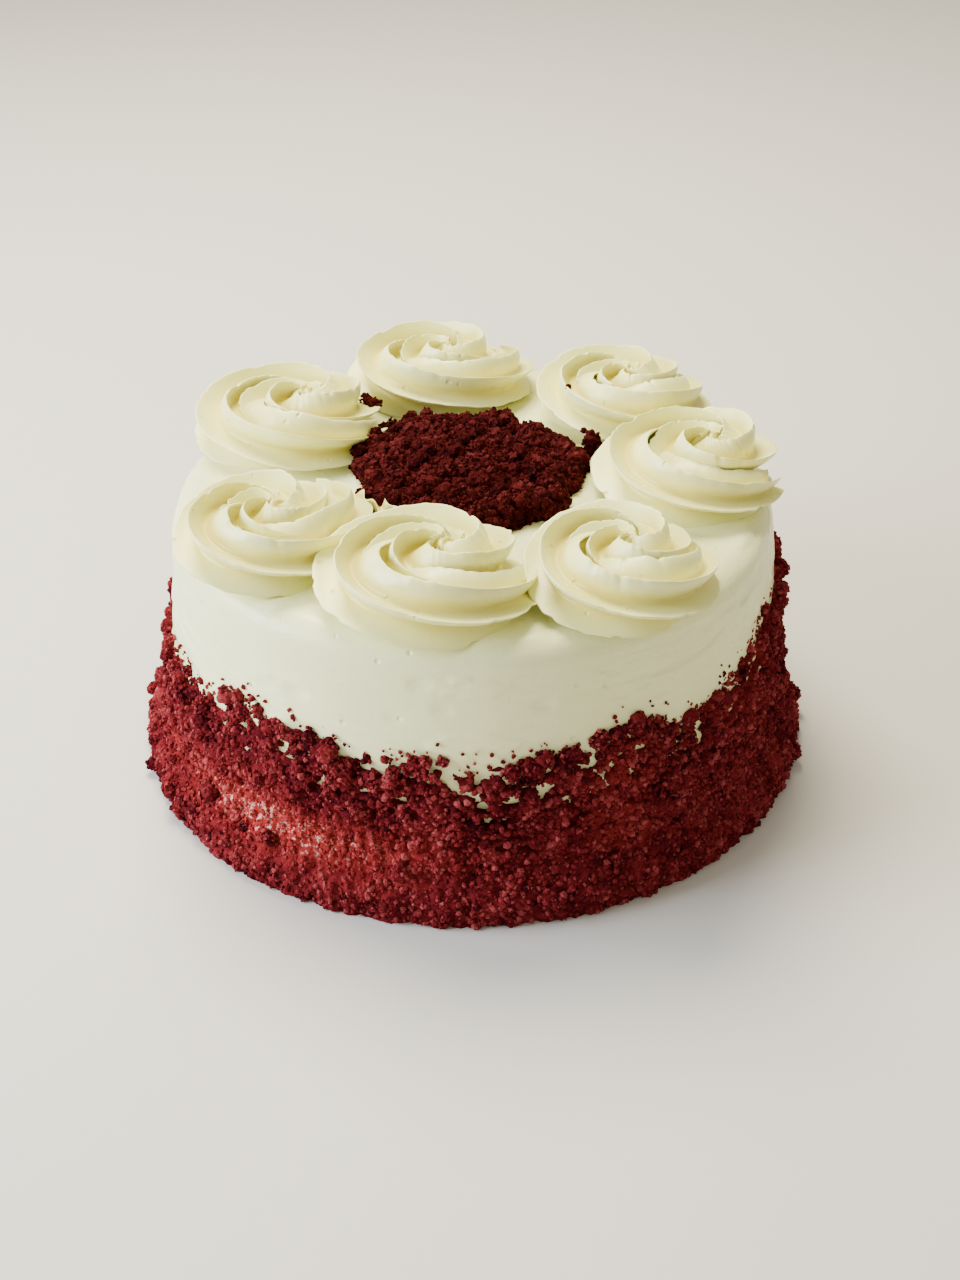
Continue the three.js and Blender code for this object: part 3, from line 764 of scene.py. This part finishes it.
# Relief of the bare coat: thickness less what is worn, plus three sizes of grain. Above its ragged
# edge, and in gaps and flecks under it, the surface sinks below the frosting.
def coatRelief(degrees, height):
    u, v = (degrees / 360) % 1, height / coat["noiseHeight"]
    below = coatEdge(degrees) - coat["edgeLower"] + layered(softNoise, u, v, coat["ragged"]) - height
    grains = layered(grainNoise, u, v, coat["grains"])
    gaps = smoothStep(*coat["gapFrom"], softNoise(u, v, *coat["gapNoise"])) \
        * smoothStep(*coat["gapBelow"], below)
    flecks = smoothStep(*coat["fleckFrom"], softNoise(u, v, *coat["fleckNoise"])) \
        * smoothStep(*coat["fleckBelow"], below)
    gaps = np.maximum(gaps, flecks)
    thick = coatThickness(degrees, height) - coat["grainFloor"] + grains \
        - coat["wornDepth"] * thinness(degrees, height)
    thick = np.minimum(thick, below * coat["edgeSlope"])
    return thick * (1 - gaps) - coat["sunk"] * gaps


# Points round the side: the frosting's radius plus how far they stand out of it.
def onSide(degrees, height, stand):
    azimuth = np.radians(degrees)
    radius = (sideRadius(height) + stand) * roundness(azimuth)
    return np.stack([radius * np.cos(azimuth), radius * np.sin(azimuth), height], -1)


# A grid of degrees round the cake by height, from the foot to above the edge, out by the relief.
def coatSurface():
    degrees = 360 * np.arange(coat["columns"])[None, :] / coat["columns"]
    share = sharesDown(coat["rows"])
    height = share * (coatEdge(degrees) + coat["headroom"])
    degrees = np.broadcast_to(degrees, height.shape)
    relief = np.maximum(coatRelief(degrees, height), -coat["sunk"])
    # Painted shade: the bed is darker the deeper it lies below its full thickness, in hollows between
    # grains, in gaps and where it is worn down.
    shade = coat["bedShade"] + coat["bedShadeByDepth"] * (relief - coatThickness(degrees, height))
    return onSide(degrees, height, relief), np.clip(shade, coat["darkestBed"], 1), thinness(degrees, height)


surface, shade, thin = coatSurface()
mesh = closedGrid("crumb_coat_bed", surface)
storeValue(mesh, "shade", np.append(shade.ravel(), poleShades))
storeValue(mesh, "thin", np.append(thin.ravel(), (0, 0)))
placePiece("crumb_coat_bed", mesh, sideRed, "red_crumbs", "crumb_coat")
print("crumb coat is modelled")


# Loose crumbs. The small ball is the corners of three crossed golden rectangles, pushed on to a
# sphere, with the twenty faces between them.
def icosahedron():
    golden = (1 + math.sqrt(5)) / 2
    points = np.array([(-1, golden, 0), (1, golden, 0), (-1, -golden, 0), (1, -golden, 0),
                       (0, -1, golden), (0, 1, golden), (0, -1, -golden), (0, 1, -golden),
                       (golden, 0, -1), (golden, 0, 1), (-golden, 0, -1), (-golden, 0, 1)])
    faces = np.array([(0, 11, 5), (0, 5, 1), (0, 1, 7), (0, 7, 10), (0, 10, 11), (1, 5, 9), (5, 11, 4),
                      (11, 10, 2), (10, 7, 6), (7, 1, 8), (3, 9, 4), (3, 4, 2), (3, 2, 6), (3, 6, 8),
                      (3, 8, 9), (4, 9, 5), (2, 4, 11), (6, 2, 10), (8, 6, 7), (9, 8, 1)])
    return unit(points), faces


# Each face of a ball of triangles split into four.
def splitFaces(points, faces):
    middles = {}
    points = list(points)

    def middle(a, b):
        key = (min(a, b), max(a, b))
        if key not in middles:
            middles[key] = len(points)
            points.append(unit(points[a] + points[b]))
        return middles[key]

    finer = []
    for a, b, c in faces:
        ab, bc, ca = middle(a, b), middle(b, c), middle(c, a)
        finer += [(a, ab, ca), (b, bc, ab), (c, ca, bc), (ab, bc, ca)]
    return np.array(points), np.array(finer)


# A chunky grain: the eight corners of a cube, pushed on to a sphere.
def cubeBall():
    points = np.array([(x, y, z) for x in (-1, 1) for y in (-1, 1) for z in (-1, 1)], float)
    sides = [(0, 1, 3, 2), (4, 6, 7, 5), (0, 4, 5, 1), (2, 3, 7, 6), (0, 2, 6, 4), (1, 5, 7, 3)]
    faces = [half for a, b, c, d in sides for half in ((a, b, c), (a, c, d))]
    return unit(points), np.array(faces)


grainBall = cubeBall()
smallBall = icosahedron()
lumpBall = splitFaces(*smallBall)

# ground: the lowest that a corner may lie. clearance: the lowest centre, in crumb sizes. The studs on a
# lump stand out and are sized by shares of it, within a least and a greatest size.
crumbShape = {
    "stretch": (0.78, 1.25), "rough": 0.26, "ground": 0.02, "clearance": 1.05,
    "thinShade": 0.3, "thinShare": 0.6,
    "studStand": (0.82, 1.1), "studShare": (0.18, 0.40), "studSize": (0.45, 1.15),
}


# Random turns as matrices, each from a random quaternion of length 1.
def randomTurns(dice, count):
    q = unit(dice.normal(size=(count, 4)))
    w, x, y, z = q.T
    return np.stack([
        np.stack([1 - 2 * (y * y + z * z), 2 * (x * y - z * w), 2 * (x * z + y * w)], -1),
        np.stack([2 * (x * y + z * w), 1 - 2 * (x * x + z * z), 2 * (y * z - x * w)], -1),
        np.stack([2 * (x * z - y * w), 2 * (y * z + x * w), 1 - 2 * (x * x + y * y)], -1)], -2)


# Crumbs joined in one mesh: for each centre a ball is stretched, turned and made knobbly, with
# corner = centre + turn * (ball * stretch * size * (1 + rough * random)). shade is the middle and the
# spread of their shades, and thin says how thinly they lie, which makes them lighter.
def crumbPiece(name, colour, dice, ball, centres, sizes, shade, *nodes, thin=0, rough=crumbShape["rough"]):
    points, faces = ball
    count = len(centres)
    shades = np.clip(dice.normal(*shade, count) + crumbShape["thinShade"] * thin, 0, 1)
    stretch = dice.uniform(*crumbShape["stretch"], (count, 1, 3))
    knobs = 1 + rough * dice.uniform(-1, 1, (count, len(points), 1))
    local = points[None] * stretch * knobs * sizes[:, None, None]
    turned = np.einsum("nij,nkj->nki", randomTurns(dice, count), local) + centres[:, None, :]
    turned[..., 2] = np.maximum(turned[..., 2], crumbShape["ground"])
    allFaces = faces[None] + (np.arange(count) * len(points))[:, None, None]
    mesh = meshFromArrays(name, turned.reshape(-1, 3), np.zeros((0, 4), int), allFaces.reshape(-1, 3))
    thins = np.broadcast_to(crumbShape["thinShare"] * thin, count)
    storeValue(mesh, "shade", np.repeat(shades, len(points)))
    storeValue(mesh, "thin", np.repeat(thins, len(points)))
    placePiece(name, mesh, colour, "red_crumbs", *nodes, smooth=False)


# A lump is a rough core with small crumbs stuck all over it: their places and sizes.
def studdedLumps(dice, centres, sizes, perLump):
    around = unit(dice.normal(size=(len(centres), perLump, 3)))
    stand = dice.uniform(*crumbShape["studStand"], (len(centres), perLump, 1))
    spots = centres[:, None, :] + around * sizes[:, None, None] * stand
    grains = np.repeat(sizes, perLump) * dice.uniform(*crumbShape["studShare"], len(centres) * perLump)
    return spots.reshape(-1, 3), np.clip(grains, *crumbShape["studSize"])


# crowding: a power below 1, which brings more crumbs to the edge. stand: how far a centre stands out,
# as a share of the crumb. bare: the share of crumbs that a worn patch loses.
sideCrumbs = {
    "seed": 7, "overEdge": 5.0, "leastRelief": -0.2, "shade": (0.5, 0.2),
    "kinds": [
        {"name": "side_crumbs_fine", "count": 16400, "size": (0.36, 0.80), "crowding": 0.9, "stand": 0.3,
         "bare": 0.3, "ball": grainBall},
        {"name": "side_crumbs_middle", "count": 9800, "size": (0.60, 1.2), "crowding": 0.85, "stand": 0.1,
         "bare": 0.8, "ball": smallBall},
    ],
    "lumps": 230, "lumpSize": (1.4, 2.6), "bigLumps": 22, "bigLumpSize": (2.6, 3.5), "lumpRough": 0.2,
    "edgeLumps": 0.6, "edgeReach": 7, "lowReach": 0.9, "lumpStand": 0.1, "lumpShade": (0.30, 0.14),
    "studs": 52, "studShade": (0.48, 0.2),
    "strays": 900, "straySize": (0.35, 0.85), "strayDepth": 3, "strayReach": 8.0, "strayPower": 2.2,
    "strayStand": 0.3, "strayFloor": 0.5,
}


def keepAboveFloor(centres, sizes):
    centres[:, 2] = np.maximum(centres[:, 2], sizes * crumbShape["clearance"])
    return centres


def sideKind(dice, kind):
    count = kind["count"]
    degrees = dice.uniform(0, 360, count)
    height = (coatEdge(degrees) + sideCrumbs["overEdge"]) * dice.uniform(0, 1, count) ** kind["crowding"]
    sizes = dice.uniform(*kind["size"], count)
    relief, thin = coatRelief(degrees, height), thinness(degrees, height)
    kept = (relief > sideCrumbs["leastRelief"]) & (dice.uniform(0, 1, count) > kind["bare"] * thin)
    degrees, height, sizes, relief, thin = (x[kept] for x in (degrees, height, sizes, relief, thin))
    centres = keepAboveFloor(onSide(degrees, height, relief + kind["stand"] * sizes), sizes)
    crumbPiece(kind["name"], sideRed, dice, kind["ball"], centres, sizes, sideCrumbs["shade"],
               thin=thin)


# Lumps near the edge and lower down: their centres and sizes.
def sideLumps(dice):
    count = sideCrumbs["lumps"] + sideCrumbs["bigLumps"]
    degrees = dice.uniform(0, 360, count)
    sizes = np.concatenate([dice.uniform(*sideCrumbs["lumpSize"], sideCrumbs["lumps"]),
                            dice.uniform(*sideCrumbs["bigLumpSize"], sideCrumbs["bigLumps"])])
    nearEdge = dice.uniform(0, 1, count) < sideCrumbs["edgeLumps"]
    high = coatEdge(degrees) - dice.uniform(0, sideCrumbs["edgeReach"], count)
    low = coatEdge(degrees) * dice.uniform(0, sideCrumbs["lowReach"], count)
    height = np.where(nearEdge, high, low)
    stand = np.maximum(coatRelief(degrees, height), 0) + sideCrumbs["lumpStand"] * sizes
    return keepAboveFloor(onSide(degrees, height, stand), sizes), sizes


# Single crumbs round the edge, fewer the higher they lie: their centres.
def sideStrays(dice):
    degrees = dice.uniform(0, 360, sideCrumbs["strays"])
    above = dice.uniform(0, 1, sideCrumbs["strays"]) ** sideCrumbs["strayPower"] * sideCrumbs["strayReach"]
    return onSide(degrees, coatEdge(degrees) - sideCrumbs["strayDepth"] + above, sideCrumbs["strayStand"])


dice = np.random.default_rng(sideCrumbs["seed"])
for kind in sideCrumbs["kinds"]:
    sideKind(dice, kind)

centres, sizes = sideLumps(dice)
crumbPiece("side_crumb_lumps", sideRed, dice, lumpBall, centres, sizes, sideCrumbs["lumpShade"],
           rough=sideCrumbs["lumpRough"])

spots, grains = studdedLumps(dice, centres, sizes, sideCrumbs["studs"])
strays = sideStrays(dice)
clear = np.concatenate([grains, np.full(len(strays), sideCrumbs["strayFloor"])])
spots = keepAboveFloor(np.concatenate([spots, strays]), clear)
grains = np.concatenate([grains, dice.uniform(*sideCrumbs["straySize"], len(strays))])
crumbPiece("side_crumb_studs", sideRed, dice, grainBall, spots, grains, sideCrumbs["studShade"])
print("side crumbs are scattered")


# The crumb heap in the middle. reach: how far out a kind goes, as a share of the heap's area.
heap = {
    "x": -2.0, "y": 4.0, "radius": 38.0, "wide": 0.95, "deep": 1.02, "height": 7.5, "edgeHeight": 4.0,
    "columns": 420, "rings": 90, "innermost": 0.985, "bedSink": 0.4, "domePower": 3, "rimPower": 14,
    "rimWaves": [(0.05, 3, 1), (0.04, 7, 0)], "rimBites": [(1.6, (36, 1), 61)],
    "noiseWidth": 110.0, "grains": [(3.4, (20, 20), 62), (1.8, (44, 44), 63), (0.7, (92, 92), 64)],
    "grainFloor": 3.2, "bedShade": 0.2, "bedShadeByHeight": 0.06, "lightestBed": 0.6,
    "kinds": [
        {"name": "heap_crumbs_fine", "count": 7000, "size": (0.4, 0.85), "reach": 1.02,
         "ball": grainBall, "rough": 0.26, "shade": (0.5, 0.18)},
        {"name": "heap_crumbs_middle", "count": 4200, "size": (0.75, 1.4), "reach": 0.98,
         "ball": smallBall, "rough": 0.26, "shade": (0.5, 0.18)},
        {"name": "heap_crumb_lumps", "count": 250, "size": (1.4, 2.9), "reach": 0.94,
         "ball": lumpBall, "rough": 0.22, "shade": (0.4, 0.18)},
    ],
    "stand": 0.35, "studs": 30, "studShade": (0.5, 0.18),
}


# Rim of the heap: the radius with two waves and ragged bites.
def heapRim(azimuth):
    u = (azimuth / (2 * math.pi)) % 1
    return heap["radius"] * ringWaves(azimuth, heap["rimWaves"], 1) \
        + layered(softNoise, u, np.zeros_like(u), heap["rimBites"])


# Height of the heap over the cake: a flat dome with a steep rim, plus three sizes of grain.
def heapHeight(azimuth, radius):
    near = np.clip(radius / heapRim(azimuth), 0, 1)
    dome = between(heap["edgeHeight"], heap["height"], 1 - near ** heap["domePower"])
    x = 0.5 + radius * np.cos(azimuth) / heap["noiseWidth"]
    y = 0.5 + radius * np.sin(azimuth) / heap["noiseWidth"]
    grains = layered(grainNoise, x, y, heap["grains"])
    return (dome - heap["grainFloor"] + grains) * np.sqrt(np.clip(1 - near ** heap["rimPower"], 0, 1))


# Points on the heap by azimuth and radius, standing over its height.
def onHeap(azimuth, radius, stand):
    return np.stack([heap["x"] + heap["wide"] * radius * np.cos(azimuth),
                     heap["y"] + heap["deep"] * radius * np.sin(azimuth),
                     cake["height"] + heapHeight(azimuth, radius) + stand], -1)


# Rings from the rim to the middle, a little under the height of the heap.
def heapSurface():
    azimuth = anglesRound(heap["columns"])
    inward = np.linspace(0, heap["innermost"], heap["rings"])[:, None]
    radius = heapRim(azimuth) * (1 - inward)
    return onHeap(np.broadcast_to(azimuth, radius.shape), radius, -heap["bedSink"])


surface = heapSurface()
mesh = closedGrid("crumb_heap_bed", surface)
# Painted shade: the bed is darker the lower it lies, in hollows between grains and at the rim, and lighter
# on grain tops and the dome.
shade = heap["bedShade"] + heap["bedShadeByHeight"] * (surface[..., 2] - cake["height"])
storeValue(mesh, "shade", np.append(np.clip(shade, 0, heap["lightestBed"]).ravel(), poleShades))
storeValue(mesh, "thin", np.zeros(len(mesh.vertices)))
placePiece("crumb_heap_bed", mesh, heapRed, "red_crumbs", "crumb_heap")


def heapKind(dice, kind):
    count = kind["count"]
    azimuth = dice.uniform(0, 2 * math.pi, count)
    radius = heapRim(azimuth) * np.sqrt(dice.uniform(0, kind["reach"], count))
    sizes = dice.uniform(*kind["size"], count)
    centres = onHeap(azimuth, radius, heap["stand"] * sizes)
    crumbPiece(kind["name"], heapRed, dice, kind["ball"], centres, sizes, kind["shade"],
               rough=kind["rough"])
    return centres, sizes


for kind in heap["kinds"]:
    centres, sizes = heapKind(dice, kind)  # the lumps come last, and carry the studs
spots, grains = studdedLumps(dice, centres, sizes, heap["studs"])
crumbPiece("heap_crumb_studs", heapRed, dice, grainBall, spots, grains, heap["studShade"])
print("crumb heap is modelled")


# The clump that has rolled off the heap. Its lumps' places and sizes are shares of its size.
clump = {
    "place": (38.5, 19.5), "size": 3.2, "lumps": [(0, 0, 0.8), (0.9, -0.3, 0.8), (0, 0.2, 1.8)],
    "lumpSizes": [1.0, 0.8, 0.8], "studs": 20, "shade": (0.45, 0.2),
}

centres = np.array([*clump["place"], cake["height"]]) + clump["size"] * np.array(clump["lumps"])
sizes = clump["size"] * np.array(clump["lumpSizes"])
spots, grains = studdedLumps(dice, centres, sizes, clump["studs"])
centres, sizes = np.concatenate([centres, spots]), np.concatenate([sizes, grains])
crumbPiece("loose_clump", heapRed, dice, smallBall, centres, sizes, clump["shade"],
           "crumb_lump_loose")
print("loose clump is modelled")


# Single crumbs on the piping and on the cake's top: place along x and y, and size. Each drops on to
# what lies under it.
topCrumbs = {
    "piping": [
        (-7.7, 40.4, 0.9), (-2.7, 38.7, 1.25), (-3.2, 39.9, 0.8), (-34.9, 9.0, 0.9), (31.7, 40.5, 0.8),
        (-3.9, -29.6, 1.0), (-2.4, -30.6, 0.6)],
    "top": [
        (-35.6, 44.6, 1.9), (-34.2, 42.9, 1.5), (-32.8, 41.6, 1.7), (-31.0, 40.3, 1.2), (-29.7, 38.7, 1.5),
        (-28.6, 39.9, 0.9), (-26.8, 41.6, 1.6), (-25.6, 39.4, 1.1), (-24.7, 37.2, 1.4), (-33.5, 39.6, 0.8),
        (-27.6, 36.9, 0.8), (38.4, 23.1, 0.9), (36.4, 26.9, 0.8), (41.3, 16.6, 0.7), (35.6, 16.2, 0.8)],
    "dropFrom": 200, "stand": 0.6, "coreShare": 0.85, "studs": 26, "largestStud": 0.6, "shade": (0.5, 0.2),
}


# Height of a crumb's centre: a ray straight down to the first surface, plus part of the crumb.
def dropOn(trees, x, y, size):
    above = Vector((x, y, topCrumbs["dropFrom"])) * mm
    hits = [tree.ray_cast(above, Vector((0, 0, -1)))[0] for tree in trees]
    return max(hit.z for hit in hits if hit is not None) / mm + topCrumbs["stand"] * size


depsgraph = bpy.context.evaluated_depsgraph_get()
carriers = [piece for piece in bpy.context.scene.objects if piece.name.endswith("_piping")]
carriers.append(bpy.context.scene.objects["frosted_cake"])
trees = [BVHTree.FromObject(piece, depsgraph) for piece in carriers]
places = topCrumbs["piping"] + topCrumbs["top"]
centres = np.array([(x, y, dropOn(trees, x, y, size)) for x, y, size in places])
sizes = np.array([size for x, y, size in places])
spots, grains = studdedLumps(dice, centres, sizes, topCrumbs["studs"])
grains = np.minimum(grains, topCrumbs["largestStud"])
centres, sizes = np.concatenate([centres, spots]), np.concatenate([sizes * topCrumbs["coreShare"], grains])
crumbPiece("top_crumbs", heapRed, dice, smallBall, centres, sizes, topCrumbs["shade"])
print("single crumbs are dropped")
